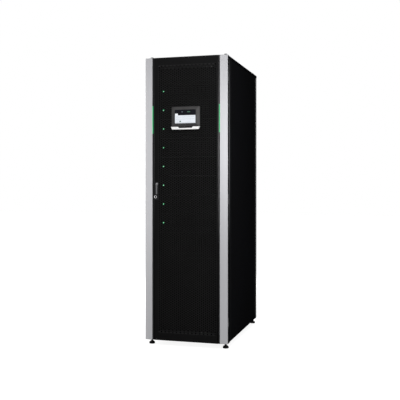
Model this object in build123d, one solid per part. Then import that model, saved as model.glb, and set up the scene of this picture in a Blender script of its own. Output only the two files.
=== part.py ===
"""Modular uninterruptible power supply cabinet, in millimetres.

+Z is up and the front door faces -Y. The floor is at Z = 0, and the origin is on the floor,
at the middle of the overall width and depth. A depth is measured back from the door's face sheet.
"""

import os

from build123d import *

# Overall sizes
WIDTH = 600.0
DEPTH = 1000.0
BODY_HEIGHT = 1990.0
FOOT_HEIGHT = 40.0

# Fits between pieces
SEAT_GAP = 0.3
PANEL_GAP = 2.0
DOOR_GAP = 8.0

# Frame
POST_WIDTH = 55.0
POST_DEPTH = 30.0
POST_INSET = 1.0
POST_NOSE_RADIUS = 12.0
POST_RETURN_DEPTH = 20.0
BASE_RAIL_HEIGHT = 60.0
TOP_RAIL_HEIGHT = 50.0
FLOOR_THICKNESS = 2.0

# Outer panels
SHEET = 1.5
ROOF_THICKNESS = 20.0
SIDE_PANEL_THICKNESS = 14.0
REAR_PANEL_THICKNESS = 14.0
PANEL_EDGE_RADIUS = 4.0
REAR_VENT_COLUMNS = 3
REAR_VENT_ROWS = 9
REAR_VENT_MARGIN = 60.0
REAR_VENT_WEB = 20.0
GLAND_PLATE_WIDTH = 420.0
GLAND_PLATE_DEPTH = 180.0
GLAND_PLATE_THICKNESS = 3.0
GLAND_PLATE_SETBACK = 60.0
GLAND_PLATE_RADIUS = 8.0

# Levelling feet and roof bolts, on the corner posts' centre lines
PAD_RADIUS = 21.0
PAD_EDGE_HEIGHT = 8.0
PAD_SHOULDER_RADIUS = 16.0
PAD_SHOULDER_HEIGHT = 15.0
PAD_CROWN_HEIGHT = 20.0
STEM_RADIUS = 8.5
BOLT_HEAD_ACROSS_FLATS = 19.0
BOLT_HEAD_HEIGHT = 12.5
WASHER_RADIUS = 14.0
WASHER_THICKNESS = 3.0

# Rack inside
RACK_OPENING_GAP = 0.7
RACK_RAIL_WIDTH = 22.0
RACK_RAIL_SETBACK = 8.0
RACK_RAIL_WALL = 2.5
FLANGE_THICKNESS = 3.0
FLANGE_GAP = 1.35
RACK_UNIT = 44.45
MODULE_COUNT = 8
MODULE_UNITS = 3
UPPER_COVER_HEIGHT = 95.2
MODULE_BODY_DEPTH = 700.0
MODULE_BODY_MARGIN = 22.5
MODULE_BODY_DROP = 3.0
LOUVRE_COUNT = 6
LOUVRE_PITCH = 15.0
LOUVRE_HEIGHT = 8.0
LOUVRE_LENGTH = 300.0
PULL_LIP_WIDTH = 70.0
PULL_LIP_REACH = 18.0
PULL_LIP_THICKNESS = 4.0
PULL_LIP_RISE = 9.0
PULL_LIP_RADIUS = 6.0
BYPASS_UNITS = 4
VENT_SLOT_COUNT = 12
VENT_SLOT_PITCH = 22.0
VENT_SLOT_WIDTH = 8.0
VENT_SLOT_LENGTH = 110.0
VENT_DEPTH = 12.0
LAMP_INSET = 61.8
LAMP_RADIUS = 5.0
LAMP_HEIGHT = 3.0

# Front door
DOOR_THICKNESS = 34.0
DOOR_RADIUS = 3.0
WINDOW_LEFT_MARGIN = 36.0
WINDOW_RIGHT_MARGIN = 16.0
WINDOW_END_MARGIN = 55.0
DOOR_PANEL_PROUD = 9.0
DOOR_PANEL_RADIUS = 8.5
TRIM_WIDTH = 54.0
TRIM_INNER_PROUD = 11.0
TRIM_OUTER_PROUD = 1.5
TRIM_INNER_RADIUS = 1.5
TRIM_OUTER_RADIUS = 1.2
CHANNEL_WIDTH = 10.0
CHANNEL_THICKNESS = 5.0
LIGHT_DROP = 340.0
LIGHT_LENGTH = 193.0
LIGHT_WIDTH = 7.0
LIGHT_EDGE_GAP = 0.5
LIGHT_THICKNESS = 5.0
LIGHT_RADIUS = 2.0

# Touch display on the door
DISPLAY_DROP = 349.0
DISPLAY_WIDTH = 206.0
DISPLAY_HEIGHT = 141.0
DISPLAY_PROUD = 12.0
DISPLAY_SLOPE_SIDE = 22.0
DISPLAY_SLOPE_TOP = 17.0
DISPLAY_RADIUS = 7.0
GLASS_WIDTH = 152.0
GLASS_HEIGHT = 95.0
GLASS_THICKNESS = 2.5
GLASS_RAISED = 0.5
REAR_BOX_WIDTH = 170.0
REAR_BOX_HEIGHT = 112.0
REAR_BOX_DEPTH = 30.0
REAR_BOX_RADIUS = 5.0
LIP_TOP_WIDTH = 209.0
LIP_BOTTOM_WIDTH = 193.0
LIP_HEIGHT = 19.0
LIP_PROUD = 14.0
LIP_NOTCH_WIDTH = 96.0
LIP_NOTCH_DEPTH = 9.0
LIP_NOTCH_SLANT = 8.0
LIP_RADIUS = 2.0

# Swing handle, with its heights above the door panel's face
HANDLE_EDGE_INSET = 26.0
HANDLE_BASE_INSET = 2.0
HANDLE_BASE_BOTTOM = 988.0
HANDLE_BASE_LENGTH = 126.0
HANDLE_BASE_WIDTH = 34.0
HANDLE_BASE_RADIUS = 6.0
HANDLE_BASE_THICKNESS = 3.0
HANDLE_PIVOT_DROP = 14.0
HUB_RADIUS = 8.0
HUB_RUNNING_GAP = 0.3
HUB_HEIGHT = 7.0
LEVER_UNDERSIDE = 8.5
LEVER_THICKNESS = 8.0
LEVER_WIDTH = 11.0
LEVER_TIP_WIDTH = 9.0
LEVER_LENGTH = 72.0
LEVER_TIP_RADIUS = 4.0
TONGUE_WIDTH = 5.0
TONGUE_GAP = 0.5
TONGUE_ROUND = 3.8
CLEVIS_DEPTH = 9.0
PIVOT_PIN_RADIUS = 2.0
PIVOT_PIN_GAP = 0.1
LOCK_RADIUS = 10.0
LOCK_CORE_RADIUS = 7.0
LOCK_PROUD = 2.0
LOCK_RISE = 22.0
LOCK_EDGE_INSET = 14.5
KEYWAY_WIDTH = 2.0
KEYWAY_LENGTH = 8.0
KEYWAY_DEPTH = 1.5

# Door hinges
HINGE_END_INSET = 145.0
HINGE_SIDE_INSET = 8.0
HINGE_REAR_INSET = 8.0
KNUCKLE_RADIUS = 6.5
KNUCKLE_LENGTH = 30.0
KNUCKLE_GAP = 1.0
HINGE_PIN_RADIUS = 3.0
HINGE_PIN_GAP = 0.1
HINGE_PIN_SHORT = 3.0
HINGE_NOTCH_MARGIN = 6.0
HINGE_NOTCH_WIDTH = 24.0
HINGE_NOTCH_DEPTH = 22.0
HINGE_ARM_THICKNESS = 8.0
HINGE_LEAF_WIDTH = 34.0
HINGE_LEAF_THICKNESS = 3.0

# Places worked out from the sizes above
FRONT_PROUD = DOOR_PANEL_PROUD + max(LIP_PROUD, LEVER_UNDERSIDE + LEVER_THICKNESS)
SKIN_Y = (FRONT_PROUD - DEPTH) / 2
SIDE = WIDTH / 2
BODY_BOTTOM = FOOT_HEIGHT
BODY_TOP = BODY_BOTTOM + BODY_HEIGHT
FRAME_TOP = BODY_TOP - ROOF_THICKNESS
FRAME_FRONT = DOOR_THICKNESS + DOOR_GAP
FRAME_REAR = DEPTH - REAR_PANEL_THICKNESS
POST_OUTER = SIDE - POST_INSET
POST_INNER = POST_OUTER - POST_WIDTH
POST_CENTRE_X = (POST_OUTER + POST_INNER) / 2
FRONT_POST_BACK = FRAME_FRONT + POST_DEPTH
REAR_POST_FRONT = FRAME_REAR - POST_DEPTH
SIDE_SPAN = (FRONT_POST_BACK + POST_RETURN_DEPTH, REAR_POST_FRONT - POST_RETURN_DEPTH)
SIDE_PANEL_SPAN = (SIDE_SPAN[0] + PANEL_GAP, SIDE_SPAN[1] - PANEL_GAP)
RAIL_OUTER = SIDE - SIDE_PANEL_THICKNESS
RACK_FLANGE_BACK = FRAME_FRONT + RACK_RAIL_SETBACK
RACK_FACE = RACK_FLANGE_BACK - FLANGE_THICKNESS
RACK_HALF = POST_INNER - RACK_OPENING_GAP
MODULE_PITCH = MODULE_UNITS * RACK_UNIT
STACK_TOP = FRAME_TOP - TOP_RAIL_HEIGHT - UPPER_COVER_HEIGHT
STACK_BOTTOM = STACK_TOP - MODULE_COUNT * MODULE_PITCH
BYPASS_BOTTOM = STACK_BOTTOM - BYPASS_UNITS * RACK_UNIT
LAMP_X = LAMP_INSET - RACK_HALF
TRIM_INNER = SIDE - TRIM_WIDTH
CHANNEL_INNER = TRIM_INNER - CHANNEL_WIDTH
LIGHT_OUTER = TRIM_INNER - LIGHT_EDGE_GAP
WINDOW_LEFT = WINDOW_LEFT_MARGIN - CHANNEL_INNER
WINDOW_RIGHT = CHANNEL_INNER - WINDOW_RIGHT_MARGIN
WINDOW_BOTTOM = BODY_BOTTOM + WINDOW_END_MARGIN
WINDOW_TOP = BODY_TOP - WINDOW_END_MARGIN
LIGHT_BOTTOM = BODY_TOP - LIGHT_DROP - LIGHT_LENGTH
DISPLAY_BOTTOM = BODY_TOP - DISPLAY_DROP - DISPLAY_HEIGHT
DISPLAY_MIDDLE = DISPLAY_BOTTOM + DISPLAY_HEIGHT / 2
DISPLAY_FACE = -DOOR_PANEL_PROUD - DISPLAY_PROUD
HANDLE_X = HANDLE_EDGE_INSET - CHANNEL_INNER
HANDLE_BASE_X = HANDLE_BASE_INSET + HANDLE_BASE_WIDTH / 2 - CHANNEL_INNER
LOCK_X = LOCK_EDGE_INSET - CHANNEL_INNER
HANDLE_BASE_MIDDLE = BODY_BOTTOM + HANDLE_BASE_BOTTOM + HANDLE_BASE_LENGTH / 2
HANDLE_PIVOT_Z = BODY_BOTTOM + HANDLE_BASE_BOTTOM + HANDLE_BASE_LENGTH - HANDLE_PIVOT_DROP
LEVER_PIVOT = LEVER_UNDERSIDE + LEVER_THICKNESS / 2
HINGE_X = SIDE - HINGE_SIDE_INSET
HINGE_DEPTH = DOOR_THICKNESS - HINGE_REAR_INSET
HINGE_HEIGHTS = (HINGE_END_INSET, BODY_HEIGHT / 2, BODY_HEIGHT - HINGE_END_INSET)
CORNER_DEPTHS = (FRAME_FRONT + POST_DEPTH / 2, FRAME_REAR - POST_DEPTH / 2)
CORNERS = [(side, depth) for depth in CORNER_DEPTHS for side in (-1, 1)]


def block(x, depth, z):
    """Box between (low, high) pairs: X, depth behind the door's face, and Z."""
    size = (x[1] - x[0], depth[1] - depth[0], z[1] - z[0])
    centre = ((x[0] + x[1]) / 2, SKIN_Y + (depth[0] + depth[1]) / 2, (z[0] + z[1]) / 2)
    return Pos(*centre) * Box(*size)


def mirrored(x_low, x_high, side):
    """X range of a piece on the given side, +1 for right and -1 for left."""
    return (x_low, x_high) if side > 0 else (-x_high, -x_low)


def front_plane(depth, x=0.0, z=0.0):
    """Sketch plane parallel to the door: local x is +X, local y is +Z, and it faces forward."""
    return Plane(origin=(x, SKIN_Y + depth, z), x_dir=(1, 0, 0), z_dir=(0, -1, 0))


def upright(radius, length, x, depth, z):
    """Vertical cylinder that stands at height z."""
    return Pos(x, SKIN_Y + depth, z + length / 2) * Cylinder(radius, length)


def pan(shape, opening_axis):
    """Folded sheet: the shape's skin, open on its last face along the given axis."""
    return offset(shape, amount=-SHEET, openings=shape.faces().sort_by(opening_axis)[-1])


# Frame


def corner_post(side, nose, back, return_end):
    """Post between two depths, with a rounded nose and a set-back return for the side panel."""
    corners = [
        (POST_INNER, nose),
        (POST_OUTER, nose),
        (POST_OUTER, back),
        (RAIL_OUTER, back),
        (RAIL_OUTER, return_end),
        (POST_INNER, return_end),
    ]
    section = make_face(Polyline(*[(side * x, SKIN_Y + depth) for x, depth in corners], close=True))
    nose_corner = section.vertices().sort_by_distance((side * POST_OUTER, SKIN_Y + nose, 0))[0]
    section = fillet(nose_corner, POST_NOSE_RADIUS)
    return Pos(0, 0, BODY_BOTTOM) * extrude(section, FRAME_TOP - BODY_BOTTOM, dir=(0, 0, 1))


def cross_rails(z):
    """Front and rear rails between the corner posts."""
    spans = ((FRAME_FRONT, FRONT_POST_BACK), (REAR_POST_FRONT, FRAME_REAR))
    return [block((-POST_INNER, POST_INNER), span, z) for span in spans]


def side_rails(z):
    """Left and right rails between the front and rear posts."""
    return [block(mirrored(POST_INNER, RAIL_OUTER, side), SIDE_SPAN, z) for side in (-1, 1)]


def floor_plate():
    """Plate set between the base rails, level with their tops."""
    top = BODY_BOTTOM + BASE_RAIL_HEIGHT
    return block((-POST_INNER, POST_INNER), (FRONT_POST_BACK, REAR_POST_FRONT),
                 (top - FLOOR_THICKNESS, top))


def levelling_foot(side, depth):
    """Domed pad on a screwed stem, turned about the post's centre line."""
    outline = [
        (0, 0),
        (PAD_RADIUS, 0),
        (PAD_RADIUS, PAD_EDGE_HEIGHT),
        (PAD_SHOULDER_RADIUS, PAD_SHOULDER_HEIGHT),
        (STEM_RADIUS, PAD_CROWN_HEIGHT),
        (STEM_RADIUS, FOOT_HEIGHT),
        (0, FOOT_HEIGHT),
    ]
    section = Plane.XZ * make_face(Polyline(*outline, close=True))
    return Pos(side * POST_CENTRE_X, SKIN_Y + depth, 0) * revolve(section, Axis.Z)


# Outer panels


def side_panel(side):
    heights = (BODY_BOTTOM + PANEL_GAP, FRAME_TOP - PANEL_GAP)
    panel = block(mirrored(RAIL_OUTER, SIDE, side), SIDE_PANEL_SPAN, heights)
    outer = panel.faces().sort_by(Axis.X)[-1 if side > 0 else 0]
    panel = fillet(outer.edges(), PANEL_EDGE_RADIUS)
    return pan(panel, -Axis.X if side > 0 else Axis.X)


def vent_pitch(length, count):
    """Spacing of equal vents that fill a length, less its margins, with webs between them."""
    return (length - 2 * REAR_VENT_MARGIN + REAR_VENT_WEB) / count


def rear_panel():
    """Folded panel with a grid of vents, which hold fine mesh."""
    heights = (BODY_BOTTOM + PANEL_GAP, FRAME_TOP - PANEL_GAP)
    panel = block((-POST_OUTER, POST_OUTER), (FRAME_REAR, DEPTH), heights)
    panel = fillet(panel.faces().sort_by(Axis.Y)[-1].edges(), PANEL_EDGE_RADIUS)
    across = vent_pitch(2 * POST_OUTER, REAR_VENT_COLUMNS)
    upward = vent_pitch(heights[1] - heights[0], REAR_VENT_ROWS)
    plane = front_plane(DEPTH, 0, sum(heights) / 2)
    vents = [plane * place * Rectangle(across - REAR_VENT_WEB, upward - REAR_VENT_WEB)
             for place in GridLocations(across, upward, REAR_VENT_COLUMNS, REAR_VENT_ROWS)]
    return pan(panel, -Axis.Y) - [extrude(vent, REAR_PANEL_THICKNESS) for vent in vents]


def roof():
    panel = block((-SIDE, SIDE), (FRAME_FRONT, DEPTH), (FRAME_TOP, BODY_TOP))
    panel = fillet(panel.faces().sort_by(Axis.Z)[-1].edges(), PANEL_EDGE_RADIUS)
    return pan(panel, -Axis.Z)


def gland_plate():
    """Blank cable entry plate on the roof, near the rear."""
    back = DEPTH - GLAND_PLATE_SETBACK
    plate = block((-GLAND_PLATE_WIDTH / 2, GLAND_PLATE_WIDTH / 2),
                  (back - GLAND_PLATE_DEPTH, back),
                  (BODY_TOP, BODY_TOP + GLAND_PLATE_THICKNESS))
    return fillet(plate.edges().filter_by(Axis.Z), GLAND_PLATE_RADIUS)


def roof_bolt(side, depth):
    """Hexagon bolt on a washer, above a corner post."""
    x = side * POST_CENTRE_X
    washer = upright(WASHER_RADIUS, WASHER_THICKNESS, x, depth, BODY_TOP)
    hexagon = RegularPolygon(BOLT_HEAD_ACROSS_FLATS / 2, 6, major_radius=False)
    head = extrude(hexagon, BOLT_HEAD_HEIGHT)
    return washer + Pos(x, SKIN_Y + depth, BODY_TOP + WASHER_THICKNESS) * head


# Rack inside


def rack_rail(side):
    """Vertical mounting angle beside a front post."""
    span = (RACK_FLANGE_BACK, FRONT_POST_BACK)
    heights = (BODY_BOTTOM + BASE_RAIL_HEIGHT, FRAME_TOP - TOP_RAIL_HEIGHT)
    low = RACK_HALF - RACK_RAIL_WIDTH
    face = block(mirrored(low, RACK_HALF, side),
                 (span[0], span[0] + RACK_RAIL_WALL), heights)
    web = block(mirrored(RACK_HALF - RACK_RAIL_WALL, RACK_HALF, side), span, heights)
    return face + web


def front_flange(bottom, top):
    """Front plate across the rack opening, seated on both mounting rails."""
    return block((-RACK_HALF, RACK_HALF), (RACK_FACE, RACK_FLANGE_BACK),
                 (bottom + FLANGE_GAP / 2, top - FLANGE_GAP / 2))


def module_body(bottom, top):
    half = RACK_HALF - MODULE_BODY_MARGIN
    return block((-half, half), (RACK_FLANGE_BACK, RACK_FLANGE_BACK + MODULE_BODY_DEPTH),
                 (bottom + MODULE_BODY_DROP, top - MODULE_BODY_DROP))


def vent_slots(middle, across, upright_by, count, width, height):
    """Row of rectangular vent cuts in a front plate, spaced across and upwards."""
    cuts = []
    for index in range(count):
        step = index - (count - 1) / 2
        plane = front_plane(RACK_FACE, step * across, middle + step * upright_by)
        cuts.append(extrude(plane * Rectangle(width, height), -VENT_DEPTH))
    return cuts


def pull_lip(bottom):
    """Folded grip plate that stands out of a module's lower edge."""
    low = bottom + PULL_LIP_RISE
    half = PULL_LIP_WIDTH / 2
    lip = block((-half, half), (RACK_FACE - PULL_LIP_REACH, RACK_FACE),
                (low, low + PULL_LIP_THICKNESS))
    front = lip.faces().sort_by(Axis.Y)[0]
    return fillet(front.edges().filter_by(Axis.Z), PULL_LIP_RADIUS)


def power_module(index):
    """Plug-in power module, numbered from the lowest, with louvres across its face."""
    bottom = STACK_BOTTOM + index * MODULE_PITCH
    top = bottom + MODULE_PITCH
    module = front_flange(bottom, top) + module_body(bottom, top) + pull_lip(bottom)
    return module - vent_slots((bottom + top) / 2, 0, LOUVRE_PITCH, LOUVRE_COUNT,
                               LOUVRE_LENGTH, LOUVRE_HEIGHT)


def status_lamp(index):
    """Green lamp on the face of a power module."""
    z = STACK_BOTTOM + (index + 0.5) * MODULE_PITCH
    return extrude(front_plane(RACK_FACE, LAMP_X, z) * Circle(LAMP_RADIUS), LAMP_HEIGHT)


def bypass_module():
    """Static bypass module below the power modules, with upright vent slots."""
    module = front_flange(BYPASS_BOTTOM, STACK_BOTTOM) + module_body(BYPASS_BOTTOM, STACK_BOTTOM)
    return module - vent_slots((BYPASS_BOTTOM + STACK_BOTTOM) / 2, VENT_SLOT_PITCH, 0,
                               VENT_SLOT_COUNT, VENT_SLOT_WIDTH, VENT_SLOT_LENGTH)


# Front door


def door_stile(x):
    stile = block(x, (0, DOOR_THICKNESS), (BODY_BOTTOM, BODY_TOP))
    rear_edges = stile.faces().sort_by(Axis.Y)[-1].edges().filter_by(Axis.Z)
    return fillet(rear_edges, DOOR_RADIUS)


def left_stile():
    return door_stile((-SIDE, WINDOW_LEFT))


def right_stile():
    """Hinge stile, notched where the hinge leaves stand."""
    stile = door_stile((WINDOW_RIGHT, SIDE))
    half = KNUCKLE_LENGTH + HINGE_NOTCH_MARGIN
    for height in HINGE_HEIGHTS:
        z = BODY_BOTTOM + height
        stile -= block((SIDE - HINGE_NOTCH_WIDTH, SIDE),
                       (DOOR_THICKNESS - HINGE_NOTCH_DEPTH, DOOR_THICKNESS),
                       (z - half, z + half))
    return stile


def door_rail(z):
    return block((WINDOW_LEFT, WINDOW_RIGHT), (0, DOOR_THICKNESS), z)


def door_panel():
    """Raised front sheet with rounded long edges. Its perforation covers the door's window."""
    panel = block((-CHANNEL_INNER, CHANNEL_INNER), (-DOOR_PANEL_PROUD, 0), (BODY_BOTTOM, BODY_TOP))
    front = panel.faces().sort_by(Axis.Y)[0]
    panel = fillet(front.edges().filter_by(Axis.Z), DOOR_PANEL_RADIUS)
    return pan(panel, Axis.Y)


def trim(side):
    """Aluminium edge profile whose face slopes back towards the cabinet's side."""
    corners = [
        (side * TRIM_INNER, SKIN_Y),
        (side * TRIM_INNER, SKIN_Y - TRIM_INNER_PROUD),
        (side * SIDE, SKIN_Y - TRIM_OUTER_PROUD),
        (side * SIDE, SKIN_Y),
    ]
    section = make_face(Polyline(*corners, close=True))
    section = fillet(section.vertices().sort_by(Axis.Y)[0], TRIM_INNER_RADIUS)
    outer_corner = section.vertices().sort_by_distance((side * SIDE, SKIN_Y - TRIM_OUTER_PROUD, 0))[0]
    section = fillet(outer_corner, TRIM_OUTER_RADIUS)
    return Pos(0, 0, BODY_BOTTOM) * extrude(section, BODY_HEIGHT, dir=(0, 0, 1))


def light_channel(side):
    """Dark strip in the groove between a trim and the door panel."""
    return block(mirrored(CHANNEL_INNER, TRIM_INNER, side), (-CHANNEL_THICKNESS, 0),
                 (BODY_BOTTOM, BODY_TOP))


def light_lens(side):
    """Lit bar on a channel strip, close to the trim."""
    lens = block(mirrored(LIGHT_OUTER - LIGHT_WIDTH, LIGHT_OUTER, side),
                 (-CHANNEL_THICKNESS - LIGHT_THICKNESS, -CHANNEL_THICKNESS),
                 (LIGHT_BOTTOM, LIGHT_BOTTOM + LIGHT_LENGTH))
    front = lens.faces().sort_by(Axis.Y)[0]
    return fillet(front.edges().filter_by(Axis.Z), LIGHT_RADIUS)


# Touch display


def display_housing():
    """Bezel that slopes from the door up to the glass, recessed for the glass."""
    base = front_plane(-DOOR_PANEL_PROUD, 0, DISPLAY_MIDDLE) * RectangleRounded(
        DISPLAY_WIDTH, DISPLAY_HEIGHT, DISPLAY_RADIUS)
    face = front_plane(DISPLAY_FACE, 0, DISPLAY_MIDDLE) * RectangleRounded(
        DISPLAY_WIDTH - 2 * DISPLAY_SLOPE_SIDE, DISPLAY_HEIGHT - 2 * DISPLAY_SLOPE_TOP,
        DISPLAY_RADIUS)
    seat = front_plane(DISPLAY_FACE, 0, DISPLAY_MIDDLE) * Rectangle(
        GLASS_WIDTH + 2 * SEAT_GAP, GLASS_HEIGHT + 2 * SEAT_GAP)
    return loft([base, face]) - extrude(seat, GLASS_RAISED - GLASS_THICKNESS)


def display_glass():
    pane = front_plane(DISPLAY_FACE - GLASS_RAISED, 0, DISPLAY_MIDDLE) * Rectangle(
        GLASS_WIDTH, GLASS_HEIGHT)
    return extrude(pane, -GLASS_THICKNESS)


def display_rear_box():
    """Electronics case of the display, behind the door panel's sheet."""
    back = SHEET - DOOR_PANEL_PROUD
    outline = front_plane(back, 0, DISPLAY_MIDDLE) * RectangleRounded(
        REAR_BOX_WIDTH, REAR_BOX_HEIGHT, REAR_BOX_RADIUS)
    return extrude(outline, -REAR_BOX_DEPTH)


def display_lip():
    """White chin under the bezel, narrower at its foot and notched along its top."""
    top = LIP_HEIGHT
    notch = LIP_NOTCH_WIDTH / 2
    floor = top - LIP_NOTCH_DEPTH
    half = [
        (LIP_BOTTOM_WIDTH / 2, 0),
        (LIP_TOP_WIDTH / 2, top),
        (notch + LIP_NOTCH_SLANT, top),
        (notch, floor),
    ]
    outline = half + [(-x, z) for x, z in reversed(half)]
    bottom = DISPLAY_BOTTOM - SEAT_GAP - LIP_HEIGHT
    section = front_plane(-DOOR_PANEL_PROUD, 0, bottom) * make_face(Polyline(*outline, close=True))
    lip = extrude(section, LIP_PROUD)
    return fillet(lip.faces().sort_by(Axis.Y)[0].edges(), LIP_RADIUS)


# Swing handle


def handle_plane(height, z, x=HANDLE_X):
    """Sketch plane at a height above the door panel's face, on the spindle's line unless x is given."""
    return front_plane(-DOOR_PANEL_PROUD - height, x, z)


def handle_base():
    """Long plate on the door panel's plain edge, with the spindle hole and the ringed key lock."""
    plate = RectangleRounded(HANDLE_BASE_WIDTH, HANDLE_BASE_LENGTH, HANDLE_BASE_RADIUS)
    base = extrude(handle_plane(0, HANDLE_BASE_MIDDLE, HANDLE_BASE_X) * plate, HANDLE_BASE_THICKNESS)
    hole = handle_plane(0, HANDLE_PIVOT_Z) * Circle(HUB_RADIUS + HUB_RUNNING_GAP)
    base -= extrude(hole, HANDLE_BASE_THICKNESS)
    lock_z = BODY_BOTTOM + HANDLE_BASE_BOTTOM + LOCK_RISE
    lock_plane = handle_plane(HANDLE_BASE_THICKNESS, lock_z, LOCK_X)
    base += extrude(lock_plane * (Circle(LOCK_RADIUS) - Circle(LOCK_CORE_RADIUS)), LOCK_PROUD)
    return base - extrude(lock_plane * Rectangle(KEYWAY_WIDTH, KEYWAY_LENGTH), -KEYWAY_DEPTH)


def cross_pin(radius, length):
    """Cylinder along X on the lever's tilt axis."""
    place = Pos(HANDLE_X, SKIN_Y - DOOR_PANEL_PROUD - LEVER_PIVOT, HANDLE_PIVOT_Z)
    return place * Rot(0, 90, 0) * Cylinder(radius, length)


def handle_hub():
    """Spindle head that turns in the base, with a tongue for the lever's pin."""
    spindle = handle_plane(HUB_RUNNING_GAP, HANDLE_PIVOT_Z) * Circle(HUB_RADIUS)
    hub = extrude(spindle, HUB_HEIGHT - HUB_RUNNING_GAP)
    root = handle_plane(HUB_HEIGHT, HANDLE_PIVOT_Z) * Rectangle(TONGUE_WIDTH, 2 * TONGUE_ROUND)
    tongue = extrude(root, LEVER_PIVOT - HUB_HEIGHT) + cross_pin(TONGUE_ROUND, TONGUE_WIDTH)
    return hub + tongue - cross_pin(PIVOT_PIN_RADIUS + PIVOT_PIN_GAP, TONGUE_WIDTH)


def handle_lever():
    """Tapered grip, forked over the hub's tongue and rounded about its pin."""
    round_end = LEVER_THICKNESS / 2
    outline = [
        (-LEVER_WIDTH / 2, round_end),
        (LEVER_WIDTH / 2, round_end),
        (LEVER_TIP_WIDTH / 2, -LEVER_LENGTH),
        (-LEVER_TIP_WIDTH / 2, -LEVER_LENGTH),
    ]
    plane = handle_plane(LEVER_UNDERSIDE, HANDLE_PIVOT_Z)
    lever = extrude(plane * make_face(Polyline(*outline, close=True)), LEVER_THICKNESS)
    top = lever.faces().sort_by(Axis.Z)[-1]
    lever = fillet(top.edges().filter_by(Axis.X), round_end * 0.999)
    tip = lever.faces().sort_by(Axis.Z)[0]
    lever = fillet(tip.edges().filter_by(Axis.Y), LEVER_TIP_RADIUS)
    height = CLEVIS_DEPTH + round_end
    fork = handle_plane(LEVER_UNDERSIDE, HANDLE_PIVOT_Z + round_end - height / 2) * Rectangle(
        TONGUE_WIDTH + 2 * TONGUE_GAP, height)
    return lever - extrude(fork, LEVER_THICKNESS) + cross_pin(PIVOT_PIN_RADIUS, LEVER_WIDTH)


# Door hinges


def frame_hinge(height):
    """Lower knuckle with the pin, on an arm and leaf fixed to the front post."""
    low = BODY_BOTTOM + height - KNUCKLE_LENGTH
    high = BODY_BOTTOM + height - KNUCKLE_GAP / 2
    pin_length = 2 * KNUCKLE_LENGTH - HINGE_PIN_SHORT
    arm = block((HINGE_X - HINGE_ARM_THICKNESS / 2, HINGE_X + HINGE_ARM_THICKNESS / 2),
                (HINGE_DEPTH, FRAME_FRONT), (low, high))
    leaf = block((HINGE_X + HINGE_ARM_THICKNESS / 2 - HINGE_LEAF_WIDTH,
                  HINGE_X + HINGE_ARM_THICKNESS / 2),
                 (FRAME_FRONT - HINGE_LEAF_THICKNESS, FRAME_FRONT), (low, high))
    knuckle = upright(KNUCKLE_RADIUS, high - low, HINGE_X, HINGE_DEPTH, low)
    return knuckle + arm + leaf + upright(HINGE_PIN_RADIUS, pin_length, HINGE_X, HINGE_DEPTH, low)


def door_hinge(height):
    """Upper knuckle that drops over the pin, on an arm fixed in the stile's notch."""
    low = BODY_BOTTOM + height + KNUCKLE_GAP / 2
    high = BODY_BOTTOM + height + KNUCKLE_LENGTH
    arm = block((SIDE - HINGE_NOTCH_WIDTH, HINGE_X),
                (HINGE_DEPTH - HINGE_ARM_THICKNESS / 2, HINGE_DEPTH + HINGE_ARM_THICKNESS / 2),
                (low, high))
    knuckle = upright(KNUCKLE_RADIUS, high - low, HINGE_X, HINGE_DEPTH, low)
    bore = upright(HINGE_PIN_RADIUS + HINGE_PIN_GAP, high - low, HINGE_X, HINGE_DEPTH, low)
    return knuckle + arm - bore


def frame_nodes():
    base = (BODY_BOTTOM, BODY_BOTTOM + BASE_RAIL_HEIGHT)
    top = (FRAME_TOP - TOP_RAIL_HEIGHT, FRAME_TOP)
    front = (FRAME_FRONT, FRONT_POST_BACK, SIDE_SPAN[0])
    rear = (FRAME_REAR, REAR_POST_FRONT, SIDE_SPAN[1])
    return {
        "front_posts": [corner_post(side, *front) for side in (-1, 1)],
        "rear_posts": [corner_post(side, *rear) for side in (-1, 1)],
        "base_rails": cross_rails(base) + side_rails(base),
        "top_rails": cross_rails(top) + side_rails(top),
        "floor_plate": floor_plate(),
        "levelling_feet": [levelling_foot(side, depth) for side, depth in CORNERS],
    }


def panel_nodes():
    return {
        "side_panel_left": side_panel(-1),
        "side_panel_right": side_panel(1),
        "rear_panel": rear_panel(),
        "roof": roof(),
        "roof_gland_plate": gland_plate(),
        "roof_bolts": [roof_bolt(side, depth) for side, depth in CORNERS],
    }


def rack_nodes():
    nodes = {
        "rack_rails": [rack_rail(side) for side in (-1, 1)],
        "bypass_module": bypass_module(),
        "lower_cover": front_flange(BODY_BOTTOM + BASE_RAIL_HEIGHT, BYPASS_BOTTOM),
        "upper_cover": front_flange(STACK_TOP, FRAME_TOP - TOP_RAIL_HEIGHT),
        "status_lamps": [status_lamp(index) for index in range(MODULE_COUNT)],
    }
    for index in range(MODULE_COUNT):
        nodes[f"power_module_{index + 1}"] = power_module(index)
    return nodes


def door_nodes():
    return {
        "door_left_stile": left_stile(),
        "door_right_stile": right_stile(),
        "door_top_rail": door_rail((WINDOW_TOP, BODY_TOP)),
        "door_bottom_rail": door_rail((BODY_BOTTOM, WINDOW_BOTTOM)),
        "door_panel": door_panel(),
        "trim_left": trim(-1),
        "trim_right": trim(1),
        "light_channels": [light_channel(side) for side in (-1, 1)],
        "light_lenses": [light_lens(side) for side in (-1, 1)],
        "display_housing": display_housing(),
        "display_glass": display_glass(),
        "display_rear_box": display_rear_box(),
        "display_lip": display_lip(),
        "handle_base": handle_base(),
        "handle_hub": handle_hub(),
        "handle_lever": handle_lever(),
        "hinge_frame_leaves": [frame_hinge(height) for height in HINGE_HEIGHTS],
        "hinge_door_leaves": [door_hinge(height) for height in HINGE_HEIGHTS],
    }


def main():
    os.makedirs("parts", exist_ok=True)
    nodes = {**frame_nodes(), **panel_nodes(), **rack_nodes(), **door_nodes()}
    for name, shape in nodes.items():
        solid = Compound(children=shape) if isinstance(shape, list) else shape
        export_step(solid, f"parts/{name}.step")


main()
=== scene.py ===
"""Looks of the modular UPS cabinet, built round its CAD frame. Lengths are in metres."""

import math

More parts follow.
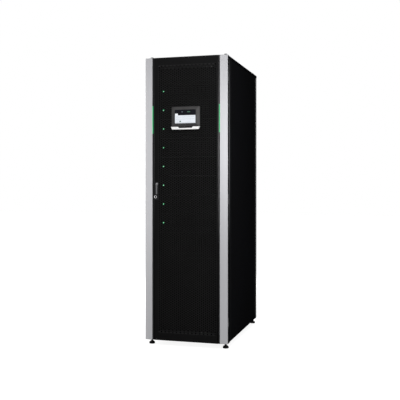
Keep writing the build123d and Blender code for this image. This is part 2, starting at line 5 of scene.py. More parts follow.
import bmesh
import bpy
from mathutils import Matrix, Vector


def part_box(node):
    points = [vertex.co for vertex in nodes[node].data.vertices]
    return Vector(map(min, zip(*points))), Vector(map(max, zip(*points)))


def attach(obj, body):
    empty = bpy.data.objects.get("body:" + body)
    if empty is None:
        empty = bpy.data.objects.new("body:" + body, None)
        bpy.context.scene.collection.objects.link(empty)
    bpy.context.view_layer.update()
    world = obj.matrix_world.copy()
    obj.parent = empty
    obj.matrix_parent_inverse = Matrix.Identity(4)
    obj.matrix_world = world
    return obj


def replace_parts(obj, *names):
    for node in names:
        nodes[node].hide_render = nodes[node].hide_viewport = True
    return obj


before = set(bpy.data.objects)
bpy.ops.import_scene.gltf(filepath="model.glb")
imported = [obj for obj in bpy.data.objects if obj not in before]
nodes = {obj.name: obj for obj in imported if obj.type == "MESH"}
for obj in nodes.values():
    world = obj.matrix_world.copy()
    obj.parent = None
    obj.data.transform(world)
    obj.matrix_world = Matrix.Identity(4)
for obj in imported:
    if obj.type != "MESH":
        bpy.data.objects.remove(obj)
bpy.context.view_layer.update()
MODULES = sorted(name for name in nodes if name.startswith("power_module"))

MM = 0.001
FORWARD = (0, -1, 0)
UPWARD = (0, 0, 1)
MERGE_DISTANCE = 0.01 * MM
SHARP_ANGLE = math.radians(30)

# Perforated sheets
SHEET_THICKNESS = 1.5 * MM
HOLE_SIDES = 6
ROW_SPACING = math.sqrt(3) / 2
DOOR_HOLE_PITCH = 16.49 * MM
DOOR_HOLE_RADIUS = 7.5 * MM
DOOR_FIELD_PARTS = 2
REAR_HOLE_PITCH = 12.5 * MM
REAR_HOLE_RADIUS = 5.0 * MM
REAR_VENT_COLUMNS = 3
REAR_VENT_ROWS = 9
REAR_VENT_MARGIN = 60.0 * MM
REAR_VENT_WEB = 20.0 * MM

# Turned pieces
TURN_STEPS = 24
BEND_STEPS = 6
THUMBSCREW_KNURL = 0.06
THUMBSCREW_EDGE = 8.0 * MM
THUMBSCREW_END = 22.0 * MM
PLATE_SCREW_INSET = 12.0 * MM
LOCK_RISE = 22.0 * MM
LOCK_INSET = 12.5 * MM
LOCK_PROUD = 2.0 * MM
LAMP_RADIUS = 5.0 * MM
LAMP_HEIGHT = 3.0 * MM
PAD_RADIUS = 21.0 * MM
PAD_EDGE = 6.0 * MM
PAD_TOP = 18.0 * MM
PAD_CORNER = 2.0 * MM
STEM_RADIUS = 8.5 * MM
THREAD_PITCH = 2.0 * MM
THREAD_DEPTH = 0.8 * MM

# Screen picture
SCREEN_LIFT = 0.15 * MM

# Finishes
GRAIN_DEPTH = 0.1 * MM
GRAIN_DETAIL = 2.0
# Painted highlights: height and reach of their band, the turn of the door folds and the depth of the post
# strip that carry them
HIGHLIGHT_HEIGHT = 1.42
HIGHLIGHT_REACH = (0.12, 0.7)
FOLD_TURN = (0.45, 0.75)
POST_HIGHLIGHT_DEPTH = (22.0 * MM, 26.0 * MM)
LENS_WIDTH = 7.0 * MM

# View, from the middle of the door's front bottom edge
CAMERA_OFFSET = Vector((1.4417, -4.6772, 1.1016))
CAMERA_YAW = 15.991
CAMERA_LENS = 63.06
CAMERA_SENSOR = 36.0
CAMERA_SHIFT_Y = -0.0404

# Studio
AMBIENT = 0.04
FLOOR_SIZE = 40.0
FLOOR_GREYS = ((0.28, 0.28, 0.28), (0.3, 0.3, 0.3))
FLOOR_PATCH_SCALE = 0.5
FLOOR_ROUGHNESS = 0.9
FLOOR_GLOW = (0.9, 1.0)
FLOOR_GLOW_REACH = (1.2, 2.5)
WHITE = (1.0, 1.0, 1.0, 1.0)

# Softboxes: place, aim, size and power in watts
SOFTBOXES = {
    "key": ((0.75, -2.6, 1.6), (0.0, -0.5, 1.5), (0.8, 1.0), 8.0),
    "fill": ((-2.2, -2.2, 1.4), (0.0, -0.5, 1.2), (1.2, 2.2), 14.7),
    "trim_strip": ((1.5, -2.0, 1.5), (0.27, -0.49, 1.5), (0.3, 0.8), 26.0),
    "high_front": ((0.9, -2.5, 4.3), (0.1, -0.5, 1.3), (1.2, 1.0), 70.0),
    "left_side": ((-3.2, 0.6, 1.6), (-0.3, 0.1, 1.2), (1.2, 1.6), 100.0),
    "back": ((-0.4, 3.2, 1.7), (0.0, 0.5, 1.2), (1.6, 1.6), 80.0),
    "top": ((0.0, 0.3, 3.8), (0.0, 0.3, 2.0), (0.5, 1.2), 50.0),
}


# Materials


def new_material(name):
    """Empty node material: (material, node tree, Principled shader)."""
    material = bpy.data.materials.new(name)
    material.use_nodes = True
    return material, material.node_tree, material.node_tree.nodes["Principled BSDF"]


def object_noise(tree, scale, stretch=(1.0, 1.0, 1.0), detail=4.0):
    """Noise in object space: its factor socket."""
    coords = tree.nodes.new("ShaderNodeTexCoord")
    mapping = tree.nodes.new("ShaderNodeMapping")
    mapping.inputs["Scale"].default_value = stretch
    noise = tree.nodes.new("ShaderNodeTexNoise")
    noise.inputs["Scale"].default_value = scale
    noise.inputs["Detail"].default_value = detail
    tree.links.new(coords.outputs["Object"], mapping.inputs["Vector"])
    tree.links.new(mapping.outputs["Vector"], noise.inputs["Vector"])
    return noise.outputs["Fac"]


def ramp(tree, factor, low, high, start=0.3, end=0.7):
    """Colour between low and high as the factor goes from start to end."""
    node = tree.nodes.new("ShaderNodeValToRGB")
    for element, place, colour in zip(node.color_ramp.elements, (start, end), (low, high)):
        element.position = place
        element.color = (*colour, 1.0)
    tree.links.new(factor, node.inputs["Fac"])
    return node.outputs["Color"]


def value_range(tree, factor, low, high, start=0.3, end=0.7):
    """Number between low and high as the factor goes from start to end."""
    node = tree.nodes.new("ShaderNodeMapRange")
    node.inputs["From Min"].default_value = start
    node.inputs["From Max"].default_value = end
    node.inputs["To Min"].default_value = low
    node.inputs["To Max"].default_value = high
    tree.links.new(factor, node.inputs["Value"])
    return node.outputs["Result"]


def axis_part(tree, output, axis):
    """One part of a texture coordinate."""
    coords = tree.nodes.new("ShaderNodeTexCoord")
    parts = tree.nodes.new("ShaderNodeSeparateXYZ")
    tree.links.new(coords.outputs[output], parts.inputs["Vector"])
    return parts.outputs[axis]


def distance(tree, scale=(1.0, 1.0, 1.0)):
    """Distance from the object's origin, with each axis scaled."""
    coords = tree.nodes.new("ShaderNodeTexCoord")
    scaled, length = (tree.nodes.new("ShaderNodeVectorMath") for _ in range(2))
    scaled.operation = "MULTIPLY"
    scaled.inputs[1].default_value = scale
    length.operation = "LENGTH"
    tree.links.new(coords.outputs["Object"], scaled.inputs[0])
    tree.links.new(scaled.outputs["Vector"], length.inputs[0])
    return length.outputs["Value"]


def calculate(tree, operation, *values):
    """Result of a math node on sockets and numbers."""
    node = tree.nodes.new("ShaderNodeMath")
    node.operation = operation
    for entry, value in zip(node.inputs, values):
        if isinstance(value, float):
            entry.default_value = value
        else:
            tree.links.new(value, entry)
    return node.outputs["Value"]


def near_mask(tree, axis, middle, inner, outer):
    """1 within inner of a place along an axis, falling to 0 at outer."""
    away = calculate(tree, "SUBTRACT", axis_part(tree, "Object", axis), middle)
    return value_range(tree, calculate(tree, "ABSOLUTE", away), 1.0, 0.0, inner, outer)


def highlight_band(tree, mask):
    """A mask kept to the height band where the painted highlights sit, fading out above and below it."""
    return calculate(tree, "MULTIPLY", mask, near_mask(tree, "Z", HIGHLIGHT_HEIGHT, *HIGHLIGHT_REACH))


def fold_highlight(tree):
    """Painted highlight on the door panel's folds: surfaces that turn to the left or right, kept to the
    highlights' height band.
    """
    turned = calculate(tree, "ABSOLUTE", axis_part(tree, "Normal", "X"))
    return highlight_band(tree, value_range(tree, turned, 0.0, 1.0, *FOLD_TURN))


def post_highlight(tree):
    """Painted highlight down the posts' front strip, kept to the highlights' height band."""
    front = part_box("front_posts")[0].y
    return highlight_band(tree, near_mask(tree, "Y", front, *POST_HIGHLIGHT_DEPTH))


def lens_fade(tree):
    """0 at the light bars' edges by the trims, 1 at their inner edges."""
    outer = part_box("light_lenses")[1].x
    across = calculate(tree, "ABSOLUTE", axis_part(tree, "Object", "X"))
    return value_range(tree, across, 1.0, 0.0, outer - LENS_WIDTH, outer)


def masked_colour(tree, colour, mask, other):
    """Colour that turns to another one where the mask is 1."""
    mix = tree.nodes.new("ShaderNodeMix")
    mix.data_type = "RGBA"
    sockets = {socket.identifier: socket for socket in (*mix.inputs, *mix.outputs)}
    sockets["B_Color"].default_value = (*other, 1.0)
    tree.links.new(mask, sockets["Factor_Float"])
    tree.links.new(colour, sockets["A_Color"])
    return sockets["Result_Color"]


def surface(name, low, high, roughness, metallic=0.0, specular=0.5, stretch=(1.0, 1.0, 1.0),
            patch_scale=6.0, grain_scale=1500.0, grain=0.0, bevel=0.0, painted_highlight=None):
    """Finish with slow patches of colour and roughness, fine grain and softened edges.

    The last argument is a mask function and the colour painted where the mask is 1, a painted highlight.
    """
    material, tree, shader = new_material(name)
    patches = object_noise(tree, patch_scale, stretch)
    colour = ramp(tree, patches, low, high)
    if painted_highlight:
        mask, highlight_colour = painted_highlight
        colour = masked_colour(tree, colour, mask(tree), highlight_colour)
    tree.links.new(colour, shader.inputs["Base Color"])
    tree.links.new(value_range(tree, patches, *roughness), shader.inputs["Roughness"])
    shader.inputs["Metallic"].default_value = metallic
    shader.inputs["Specular IOR Level"].default_value = specular
    bump = tree.nodes.new("ShaderNodeBump")
    bump.inputs["Strength"].default_value = grain
    bump.inputs["Distance"].default_value = GRAIN_DEPTH
    tree.links.new(object_noise(tree, grain_scale, stretch, GRAIN_DETAIL), bump.inputs["Height"])
    if bevel:
        rounded = tree.nodes.new("ShaderNodeBevel")
        rounded.inputs["Radius"].default_value = bevel
        tree.links.new(rounded.outputs["Normal"], bump.inputs["Normal"])
    tree.links.new(bump.outputs["Normal"], shader.inputs["Normal"])
    return material


def glowing(name, strength, base, roughness, specular):
    """Material with a glow whose colour is still to be linked: (material, node tree, its socket)."""
    material, tree, shader = new_material(name)
    shader.inputs["Base Color"].default_value = (*base, 1.0)
    shader.inputs["Emission Strength"].default_value = strength
    shader.inputs["Roughness"].default_value = roughness
    shader.inputs["Specular IOR Level"].default_value = specular
    return material, tree, shader.inputs["Emission Color"]


def lit(name, low, high, strength, scale=60.0, fade=None):
    """Glowing finish whose colour varies slightly over the piece.

    fade is a mask function and the dimmer colour where the mask is 1.
    """
    base = (0.004, 0.004, 0.004)
    material, tree, glow = glowing(name, strength, base, roughness=0.35, specular=0.05)
    colour = ramp(tree, object_noise(tree, scale), low, high)
    if fade:
        mask, dim = fade
        colour = masked_colour(tree, colour, mask(tree), dim)
    tree.links.new(colour, glow)
    return material


def lamp(name, core, rim, radius, strength):
    """Glowing lens, brightest along its piece's own Y axis."""
    base = (0.02, 0.1, 0.05)
    material, tree, glow = glowing(name, strength, base, roughness=0.2, specular=0.5)
    away = distance(tree, (1 / radius, 0.0, 1 / radius))
    tree.links.new(ramp(tree, away, core, rim), glow)
    return material


PAINT = surface("black_powder_coat", (0.013, 0.013, 0.0135), (0.016, 0.016, 0.0168), (0.42, 0.5),
                specular=0.06, grain=0.15, bevel=0.8 * MM)
SIDE_PAINT = surface("side_powder_coat", (0.0077, 0.0077, 0.0081), (0.0087, 0.009, 0.0105), (0.55, 0.62),
                     specular=0.0, patch_scale=1.5, grain=0.15, bevel=0.8 * MM)
# Painted highlight: a lighter strip down the posts' front at mid-height, standing in for a lamp's
# reflection
POST_PAINT = surface("post_powder_coat", (0.0065, 0.0065, 0.007), (0.008, 0.008, 0.0085), (0.55, 0.62),
                     specular=0.0, grain=0.15, painted_highlight=(post_highlight, (0.1, 0.1, 0.105)))
DOOR_PAINT = surface("door_powder_coat", (0.019, 0.019, 0.0192), (0.022, 0.022, 0.0222), (0.3, 0.36),
                     specular=0.0, grain=0.1)
# Painted highlight: the door panel's folds turn light grey at mid-height, standing in for a lamp's
# reflection
FOLD_PAINT = surface("door_fold_powder_coat", (0.0082, 0.0082, 0.0084), (0.0097, 0.0097, 0.0099),
                     (0.3, 0.36), specular=0.0, grain=0.1, painted_highlight=(fold_highlight, (0.2, 0.2, 0.205)))
# Partly painted shade: the modules are black paint, made far darker than that paint to stand in for the
# shade behind the perforated door
MODULE_DARKENED_PAINT = surface("module_paint_darkened_for_shade", (0.0028, 0.0028, 0.0029), (0.0036, 0.0036, 0.0037), (0.42, 0.5),
                       specular=0.01, grain=0.1, bevel=0.6 * MM)
TRIM_METAL = surface("anodised_aluminium", (0.342, 0.342, 0.355), (0.368, 0.368, 0.381), (0.36, 0.42),
                     metallic=0.7, specular=0.3, stretch=(8.0, 8.0, 0.15), patch_scale=3.0,
                     grain_scale=400.0, grain=0.03)
STEEL = surface("black_zinc", (0.035, 0.035, 0.037), (0.055, 0.055, 0.058), (0.35, 0.45),
                metallic=0.8, grain=0.05, bevel=0.4 * MM)
BLACK_PLASTIC = surface("black_plastic", (0.008, 0.008, 0.0085), (0.011, 0.011, 0.012), (0.5, 0.58),
                        specular=0.1, grain=0.2, bevel=0.6 * MM)
BEZEL_PLASTIC = surface("bezel_plastic", (0.03, 0.0293, 0.03), (0.049, 0.048, 0.0485), (0.4, 0.48),
                        specular=0.15, patch_scale=25.0, grain=0.12, bevel=1.0 * MM)
WHITE_PLASTIC = surface("white_plastic", (0.86, 0.86, 0.855), (0.88, 0.88, 0.876), (0.3, 0.36),
                        specular=0.3, grain=0.03, bevel=0.6 * MM)
HANDLE_METAL = surface("handle_casting", (0.1, 0.1, 0.105), (0.13, 0.13, 0.136), (0.3, 0.4),
                       metallic=0.9, grain=0.05, bevel=0.8 * MM)
BRIGHT_METAL = surface("bright_metal", (0.4, 0.4, 0.41), (0.48, 0.48, 0.49), (0.2, 0.28),
                       metallic=0.9, grain=0.03)
RUBBER = surface("foot_rubber", (0.006, 0.006, 0.006), (0.009, 0.009, 0.009), (0.6, 0.7),
                 specular=0.1, grain=0.2, bevel=0.6 * MM)
SCREEN_GLASS = surface("screen_glass", (0.006, 0.008, 0.01), (0.009, 0.011, 0.013), (0.12, 0.18),
                       specular=0.3)
LAMP_GREEN = lamp("lamp_green", (0.6, 1.0, 0.75), (0.004, 0.16, 0.055), 2.8 * MM, 2.6)
BAR_GREEN = lit("bar_green", (0.025, 0.68, 0.21), (0.035, 0.76, 0.25), 1.0, 40.0,
                fade=(lens_fade, (0.006, 0.1, 0.03)))
SCREEN_PALE = lit("screen_pale", (0.78, 0.82, 0.88), (0.84, 0.88, 0.93), 1.0, 30.0)
SCREEN_WHITE = lit("screen_white", (0.85, 0.9, 0.95), (0.95, 0.97, 1.0), 1.0, 30.0)
SCREEN_DARK = lit("screen_dark", (0.002, 0.002, 0.006), (0.006, 0.006, 0.014), 0.6)
SCREEN_GREY = lit("screen_grey", (0.3, 0.36, 0.42), (0.36, 0.42, 0.48), 0.8, 30.0)
SCREEN_GREEN = lit("screen_green", (0.08, 0.19, 0.125), (0.11, 0.24, 0.16), 0.8)

NODE_MATERIALS = {
    "trim_left": TRIM_METAL,
    "trim_right": TRIM_METAL,
    "light_channels": BLACK_PLASTIC,
    "light_lenses": BAR_GREEN,
    "display_housing": BEZEL_PLASTIC,
    "display_glass": SCREEN_GLASS,
    "display_lip": WHITE_PLASTIC,
    "display_rear_box": BLACK_PLASTIC,
    "handle_base": BLACK_PLASTIC,
    "handle_hub": BRIGHT_METAL,
    "handle_lever": HANDLE_METAL,
    "front_posts": POST_PAINT,
    "hinge_frame_leaves": STEEL,
    "hinge_door_leaves": STEEL,
    "roof_bolts": STEEL,
    "bypass_module": MODULE_DARKENED_PAINT,
    "lower_cover": MODULE_DARKENED_PAINT,
    "upper_cover": MODULE_DARKENED_PAINT,
    "side_panel_left": SIDE_PAINT,
    "side_panel_right": SIDE_PAINT,
    "roof": SIDE_PAINT,
    "door_left_stile": SIDE_PAINT,
    "door_right_stile": SIDE_PAINT,
    "door_top_rail": SIDE_PAINT,
    "door_bottom_rail": SIDE_PAINT,
    **dict.fromkeys(MODULES, MODULE_DARKENED_PAINT),
}


def dress_nodes():
    """Materials on the CAD nodes, plain paint where nothing else is named."""
    for name, node in nodes.items():
        node.data.materials.clear()
        node.data.materials.append(NODE_MATERIALS.get(name, PAINT))


# Meshes


def add_piece(name, mesh, material, body, place=(0.0, 0.0, 0.0)):
    """Object for a finished mesh, smooth up to sharp edges, that moves with a body."""
    mesh.materials.clear()
    mesh.materials.append(material)
    mesh.polygons.foreach_set("use_smooth", [True] * len(mesh.polygons))
    mesh.set_sharp_from_angle(angle=SHARP_ANGLE)
    piece = bpy.data.objects.new(name, mesh)
    piece.location = place
    bpy.context.scene.collection.objects.link(piece)
    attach(piece, body)
    return piece


def mesh_of(name, shells):
    """Mesh of (points, faces) shells, with shared points merged and faces turned outwards."""
    points = []
    faces = []
    for shell_points, shell_faces in shells:
        faces += [[len(points) + corner for corner in face] for face in shell_faces]
        points += shell_points
    mesh = bpy.data.meshes.new(name)
    mesh.from_pydata(points, [], faces)
    build = bmesh.new()
    build.from_mesh(mesh)
    bmesh.ops.remove_doubles(build, verts=build.verts, dist=MERGE_DISTANCE)
    bmesh.ops.recalc_face_normals(build, faces=build.faces)
    build.to_mesh(mesh)
    build.free()
    return mesh


def box_shell(low, high):
    """Box between two corners."""
    corners = [(x, y, z) for x in (low[0], high[0]) for y in (low[1], high[1]) for z in (low[2], high[2])]
    faces = [(0, 1, 3, 2), (4, 6, 7, 5), (0, 4, 5, 1), (2, 3, 7, 6), (0, 2, 6, 4), (1, 5, 7, 3)]
    return corners, faces


def rectangle_shell(low, high):
    """Single face square to an axis, between two opposite corners."""
    swapped = next(axis for axis in range(3) if low[axis] != high[axis])
    beside_low, beside_high = list(low), list(high)
    beside_low[swapped], beside_high[swapped] = high[swapped], low[swapped]
    return [low, tuple(beside_low), high, tuple(beside_high)], [(0, 1, 2, 3)]


def outline_mm(*points):
    """Outline of a turned piece from (radius, height) points in mm."""
    return [(radius * MM, height * MM) for radius, height in points]


def bend(centre, radii, start, end):
    """Round stretch of an outline, between two angles in quarter turns."""
    shares = [step / BEND_STEPS for step in range(BEND_STEPS + 1)]
    angles = [math.pi / 2 * (start + (end - start) * share) for share in shares]
    return [(centre[0] + radii[0] * math.cos(angle), centre[1] + radii[1] * math.sin(angle))
            for angle in angles]


def turned_shell(outline, place, axis, knurl=0.0):
    """Outline turned about an axis that starts at a place. knurl sets every other step in, as a share."""
    turn = Vector(UPWARD).rotation_difference(Vector(axis))
    points = []
    faces = []
    for step in range(TURN_STEPS):
        angle = math.tau * step / TURN_STEPS
        share = 1 - knurl * (step % 2)
        for radius, height in outline:
            spoke = Vector((radius * share * math.cos(angle), radius * share * math.sin(angle), height))
            points.append(tuple(Vector(place) + turn @ spoke))
        start, after = (len(outline) * (turned % TURN_STEPS) for turned in (step, step + 1))
        faces += [(start + row, after + row, after + row + 1, start + row + 1)
                  for row in range(len(outline) - 1)]
    return points, faces


def cut_copy(name, node, cutter_mesh):
    """Mesh of a CAD node with a shape cut out of it."""
    mesh = nodes[node].data.copy()
    build = bmesh.new()
    build.from_mesh(mesh)
    bmesh.ops.remove_doubles(build, verts=build.verts, dist=MERGE_DISTANCE)
    build.to_mesh(mesh)
    build.free()
    body, cutter = (bpy.data.objects.new(f"{name}_{role}", data)
                    for role, data in (("body", mesh), ("cutter", cutter_mesh)))
    for part in (body, cutter):
        bpy.context.scene.collection.objects.link(part)
    cut = body.modifiers.new("cut", "BOOLEAN")
    cut.operation = "DIFFERENCE"
    cut.solver = "EXACT"
    cut.object = cutter
    result = bpy.data.meshes.new_from_object(body.evaluated_get(bpy.context.evaluated_depsgraph_get()))
    for part in (body, cutter):
        bpy.data.objects.remove(part)
    result.name = name
    return result


def hole_cell(width, height, y_span, radius):
    """Front, back and walls of a hexagonal hole in its rectangle of sheet, round the origin.

    The rectangle has a point for each side of the hole, four corners and two middles.
    """
    outer = [(width / 2, height / 2), (0, height / 2), (-width / 2, height / 2),
             (-width / 2, -height / 2), (0, -height / 2), (width / 2, -height / 2)]
    turns = [math.tau * (side + 0.5) / HOLE_SIDES for side in range(HOLE_SIDES)]
    ring = [(radius * math.cos(turn), radius * math.sin(turn)) for turn in turns]
    points = [(x, y, z) for y in y_span for x, z in outer + ring]
    faces = []
    for side in range(HOLE_SIDES):
        after = (side + 1) % HOLE_SIDES
        front = (side, after, HOLE_SIDES + after, HOLE_SIDES + side)
        back = tuple(2 * HOLE_SIDES + corner for corner in front[::-1])
        wall = (HOLE_SIDES + side, HOLE_SIDES + after, 3 * HOLE_SIDES + after, 3 * HOLE_SIDES + side)
        faces += [front, back, wall]
    return points, faces


def perforated_shells(x_span, z_span, y_span, pitch, radius, part=(0, 1)):
    """Shells of a sheet with holes in staggered rows along X. part is the run of rows, as shares."""
    columns = round((x_span[1] - x_span[0]) / pitch)
    row_count = 2 * round((z_span[1] - z_span[0]) / (2 * pitch * ROW_SPACING))
    width = (x_span[1] - x_span[0]) / columns
    height = (z_span[1] - z_span[0]) / row_count
    first, last = (2 * round(row_count * share / 2) for share in part)
    cell, cell_faces = hole_cell(width, height, y_span, radius)
    shells = []
    for row in range(first, last):
        bottom = z_span[0] + row * height
        top = bottom + height
        staggered = 1 - row % 2
        for column in range(columns - staggered):
            x = x_span[0] + (column + 0.5 + 0.5 * staggered) * width
            z = bottom + height / 2
            shells.append(([(x + point[0], point[1], z + point[2]) for point in cell], cell_faces))
        for x, inward in zip(x_span, (width / 2, -width / 2)):
            shells.append(rectangle_shell((x, y_span[0], bottom), (x, y_span[1], top)))
            if staggered:
                shells += [rectangle_shell((x, y, bottom), (x + inward, y, top)) for y in y_span]
    for row in (first, last):
        z = z_span[0] + row * height
        for half in range(2 * columns):
            x = x_span[0] + half * width / 2
            shells.append(rectangle_shell((x, y_span[0], z), (x + width / 2, y_span[1], z)))
    return shells


def add_door_sheet():
    """The door panel, with its window filled by perforated sheet whose rows run up the door."""
    x_span = (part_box("door_left_stile")[1].x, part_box("door_right_stile")[0].x)
    z_span = (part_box("door_bottom_rail")[1].z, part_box("door_top_rail")[0].z)
    low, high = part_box("door_panel")
    y_span = (low.y, low.y + SHEET_THICKNESS)
    window = box_shell((x_span[0], low.y - MM, z_span[0]), (x_span[1], high.y + MM, z_span[1]))
    border = cut_copy("door_panel_border", "door_panel", mesh_of("window", [window]))
    pieces = [add_piece("door_panel_border", border, FOLD_PAINT, "front_door")]
    for index in range(DOOR_FIELD_PARTS):
        name = f"door_panel_field_{index + 1}"
        part = (index / DOOR_FIELD_PARTS, (index + 1) / DOOR_FIELD_PARTS)
        shells = perforated_shells(z_span, x_span, y_span, DOOR_HOLE_PITCH, DOOR_HOLE_RADIUS, part)
        upright = [([point[::-1] for point in points], faces) for points, faces in shells]
        pieces.append(add_piece(name, mesh_of(name, upright), DOOR_PAINT, "front_door"))
    for piece in pieces:
        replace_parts(piece, "door_panel")


def vent_spans(low, high, count):
    """Spans of equal vents between two edges, inside the margin and with a web between them."""
    length = (high - low - 2 * REAR_VENT_MARGIN - (count - 1) * REAR_VENT_WEB) / count
    starts = [low + REAR_VENT_MARGIN + index * (length + REAR_VENT_WEB) for index in range(count)]
    return [(start, start + length) for start in starts]


def add_rear_mesh():
    """Perforated sheet in the rear panel's vents, one piece a column."""
    low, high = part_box("rear_panel")
    y_span = (high.y - SHEET_THICKNESS, high.y)
    for column, x_span in enumerate(vent_spans(low.x, high.x, REAR_VENT_COLUMNS)):
        shells = []
        for z_span in vent_spans(low.z, high.z, REAR_VENT_ROWS):
            shells += perforated_shells(x_span, z_span, y_span, REAR_HOLE_PITCH, REAR_HOLE_RADIUS)
        name = f"rear_mesh_{column + 1}"
        add_piece(name, mesh_of(name, shells), PAINT, "cabinet")


def add_status_lamps():
    """Domed lens over each module's lamp."""
    low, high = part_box("status_lamps")
    outline = [*bend((0, 0), (LAMP_RADIUS, LAMP_HEIGHT), 1, 0), (0, 0)]
    for module in MODULES:
        module_low, module_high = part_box(module)
        place = ((low.x + high.x) / 2, high.y, (module_low.z + module_high.z) / 2)
        name = module.replace("power_module", "status_lamp")
        mesh = mesh_of(name, [turned_shell(outline, (0, 0, 0), FORWARD)])
        piece = add_piece(name, mesh, LAMP_GREEN, "cabinet", place)
        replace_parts(piece, "status_lamps")


def add_rack_screws():
    """Thumbscrews in the ears of the modules and covers."""
    outline = outline_mm((0, 6.6), (3.8, 6.6), (4.8, 5.8), (4.8, 1.4), (3.4, 1.2), (3.4, 0), (0, 0))
    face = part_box("upper_cover")[0].y
    shells = []
    for unit in (*MODULES, "bypass_module", "lower_cover", "upper_cover"):
        low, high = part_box(unit)
        for x in (low.x + THUMBSCREW_EDGE, high.x - THUMBSCREW_EDGE):
            for z in (low.z + THUMBSCREW_END, high.z - THUMBSCREW_END):
                shells.append(turned_shell(outline, (x, face, z), FORWARD, THUMBSCREW_KNURL))
    add_piece("rack_thumbscrews", mesh_of("rack_thumbscrews", shells), STEEL, "cabinet")


def add_gland_screws():
    """Socket screws round the cable entry plate."""
    outline = outline_mm((0, 1.2), (2, 1.2), (2.2, 2.4), (3.4, 2.4), (4.2, 1.6), (4.4, 0), (0, 0))
    low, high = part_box("roof_gland_plate")
    xs = (low.x + PLATE_SCREW_INSET, (low.x + high.x) / 2, high.x - PLATE_SCREW_INSET)
    ys = (low.y + PLATE_SCREW_INSET, high.y - PLATE_SCREW_INSET)
    shells = [turned_shell(outline, (x, y, high.z), UPWARD) for x in xs for y in ys]
    add_piece("gland_plate_screws", mesh_of("gland_plate_screws", shells), STEEL, "cabinet")


def add_feet():
    """Rounded pads on threaded stems."""
    low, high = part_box("levelling_feet")
    top = high.z - low.z
    pad = [(0, PAD_TOP),
           *bend((STEM_RADIUS, PAD_EDGE), (PAD_RADIUS - STEM_RADIUS, PAD_TOP - PAD_EDGE), 1, 0),
           *bend((PAD_RADIUS - PAD_CORNER, PAD_CORNER), (PAD_CORNER, PAD_CORNER), 0, -1),
           (0, 0)]
    root = STEM_RADIUS - THREAD_DEPTH
    stem = [(0, top), (root, top)]
    for turn in range(round((top - PAD_TOP) / THREAD_PITCH)):
        crest = top - (turn + 0.5) * THREAD_PITCH
        stem += [(STEM_RADIUS, crest), (root, crest - THREAD_PITCH / 2)]
    stem.append((0, PAD_TOP))
    xs, ys = ((low[axis] + PAD_RADIUS, high[axis] - PAD_RADIUS) for axis in (0, 1))
    places = [(x, y, low.z) for x in xs for y in ys]
    for name, outline, material, slot in (("foot_pads", pad, RUBBER, "foot_rubber"),
                                          ("foot_stems", stem, PAINT, "bolt_steel")):
        mesh = mesh_of(name, [turned_shell(outline, place, UPWARD) for place in places])
        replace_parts(add_piece(name, mesh, material, "cabinet"), "levelling_feet")


def add_lock_collar():
    """Bright ring round the handle's key lock."""
    outline = outline_mm((6.8, 0), (6.8, 2.2), (7.4, 2.6), (9.6, 2.6), (10.3, 2), (10.3, 0), (6.8, 0))
    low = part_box("handle_base")[0]
    place = (low.x + LOCK_INSET, low.y + LOCK_PROUD, low.z + LOCK_RISE)
    mesh = mesh_of("lock_collar", [turned_shell(outline, place, FORWARD)])
    add_piece("lock_collar", mesh, BRIGHT_METAL, "front_door")


# Areas of the screen: material, layer, and spans as shares of the glass's width and height
SCREEN_LAYOUT = {
    "body": (SCREEN_PALE, 0, (0.01, 0.99), (0.01, 0.59)),
    "header": (SCREEN_DARK, 0, (0.01, 0.99), (0.6, 0.99)),
    "tab": (SCREEN_WHITE, 1, (0.015, 0.15), (0.575, 0.72)),
    "pill": (SCREEN_GREEN, 1, (0.6, 0.74), (0.81, 0.87)),
    "title": (SCREEN_GREY, 1, (0.33, 0.38), (0.82, 0.86)),
    "dot": (SCREEN_GREEN, 1, (0.23, 0.295), (0.1, 0.19)),
    "line_high": (SCREEN_GREY, 1, (0.06, 0.94), (0.46, 0.472)),
    "line_middle": (SCREEN_GREY, 1, (0.06, 0.94), (0.305, 0.317)),
    "line_low": (SCREEN_GREY, 1, (0.06, 0.94), (0.06, 0.072)),
}


def add_screen_picture():
    """Lit layout of the touch screen, in thin layers on the glass."""
    low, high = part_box("display_glass")
    width, height = high.x - low.x, high.z - low.z
    for area, (material, layer, across, up) in SCREEN_LAYOUT.items():
        front = low.y - SCREEN_LIFT * (1 + layer)
        shell = box_shell((low.x + width * across[0], front, low.z + height * up[0]),
                          (low.x + width * across[1], front + SCREEN_LIFT, low.z + height * up[1]))
        name = f"screen_{area}"
        add_piece(name, mesh_of(name, [shell]), material, "front_door")


# Stage


def add_camera():
    """Camera at the photograph's viewing angle."""
    edge = Vector((0.0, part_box("door_left_stile")[0].y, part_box("trim_left")[0].z))
    camera = bpy.data.cameras.new("camera")
    camera.lens = CAMERA_LENS
    camera.sensor_width = CAMERA_SENSOR
    camera.shift_y = CAMERA_SHIFT_Y
    rig = bpy.data.objects.new("camera", camera)
    rig.location = edge + CAMERA_OFFSET
    rig.rotation_euler = (math.pi / 2, 0.0, math.radians(CAMERA_YAW))
    bpy.context.scene.collection.objects.link(rig)
    bpy.context.scene.camera = rig


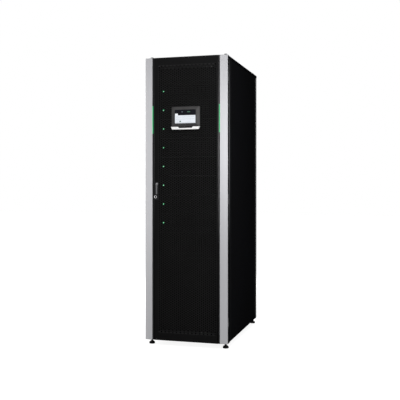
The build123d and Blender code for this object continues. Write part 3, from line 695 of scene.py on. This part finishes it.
def seen_ray(tree):
    """1 for rays that show the background: seen directly, reflected or through glass."""
    path = tree.nodes.new("ShaderNodeLightPath")
    result = path.outputs["Is Camera Ray"]
    for name in ("Is Glossy Ray", "Is Transmission Ray"):
        result = calculate(tree, "MAXIMUM", result, path.outputs[name])
    return result


def add_world():
    """White to look at, and only a faint light on the object."""
    world = bpy.data.worlds.new("studio")
    bpy.context.scene.world = world
    world.use_nodes = True
    tree = world.node_tree
    background = tree.nodes["Background"]
    background.inputs["Color"].default_value = WHITE
    strength = value_range(tree, seen_ray(tree), AMBIENT, 1.0, 0.0, 1.0)
    tree.links.new(strength, background.inputs["Strength"])


def add_floor():
    """Pale floor that keeps the object's shadow and turns white further out."""
    half = FLOOR_SIZE / 2
    points, faces = rectangle_shell((-half, -half, 0), (half, half, 0))
    mesh = bpy.data.meshes.new("floor")
    mesh.from_pydata(points, [], faces)
    material, tree, shader = new_material("floor")
    colour = ramp(tree, object_noise(tree, FLOOR_PATCH_SCALE), *FLOOR_GREYS)
    tree.links.new(colour, shader.inputs["Base Color"])
    shader.inputs["Roughness"].default_value = FLOOR_ROUGHNESS
    shader.inputs["Specular IOR Level"].default_value = 0.0
    shader.inputs["Emission Color"].default_value = WHITE
    glow = value_range(tree, distance(tree), *FLOOR_GLOW, *FLOOR_GLOW_REACH)
    tree.links.new(calculate(tree, "MULTIPLY", glow, seen_ray(tree)), shader.inputs["Emission Strength"])
    mesh.materials.append(material)
    floor = bpy.data.objects.new("floor", mesh)
    bpy.context.scene.collection.objects.link(floor)


def add_softboxes():
    """Rectangular lamps that the camera doesn't see."""
    for name, (place, aim, size, power) in SOFTBOXES.items():
        light = bpy.data.lights.new(name, "AREA")
        light.shape = "RECTANGLE"
        light.size, light.size_y = size
        light.energy = power
        rig = bpy.data.objects.new(name, light)
        rig.location = place
        rig.rotation_euler = (Vector(aim) - Vector(place)).to_track_quat("-Z", "Y").to_euler()
        rig.visible_camera = False
        bpy.context.scene.collection.objects.link(rig)


dress_nodes()
add_door_sheet()
add_rear_mesh()
add_status_lamps()
add_rack_screws()
add_gland_screws()
add_feet()
add_lock_collar()
add_screen_picture()
add_camera()
add_world()
add_floor()
add_softboxes()
bpy.context.scene.view_settings.view_transform = "Standard"
